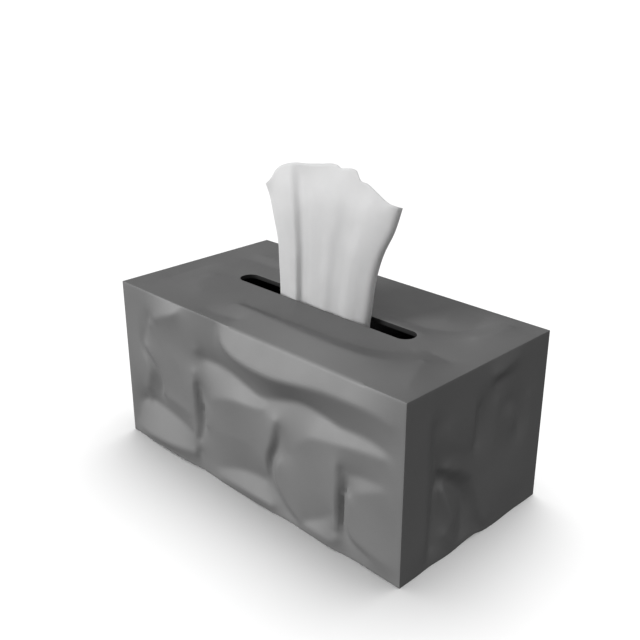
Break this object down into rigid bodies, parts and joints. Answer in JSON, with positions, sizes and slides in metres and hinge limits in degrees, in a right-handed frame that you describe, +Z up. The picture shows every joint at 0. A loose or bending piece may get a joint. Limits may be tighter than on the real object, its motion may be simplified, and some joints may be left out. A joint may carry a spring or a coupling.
{
  "type": "tissue box",
  "caption": "Rectangular tissue box cover with soft creased walls and a long slot in its flat top, standing over a stack of folded tissues with one tissue drawn up.",
  "frame": {"origin": "centre of the foot, on the surface that the cover stands on", "axes": "+X along the length and the slot, +Y across the width towards the back, +Z up; the creased front faces -Y"},
  "size_m": [0.2672, 0.146, 0.2128],
  "materials": {
    "grey_plastic": "dark grey satin moulded plastic",
    "tissue_paper": "soft white tissue paper"
  },
  "bodies": {
    "root": {"cover": "grey_plastic", "tissue_stack": "tissue_paper", "drawn_tissue": "tissue_paper"}
  },
  "joints": []
}
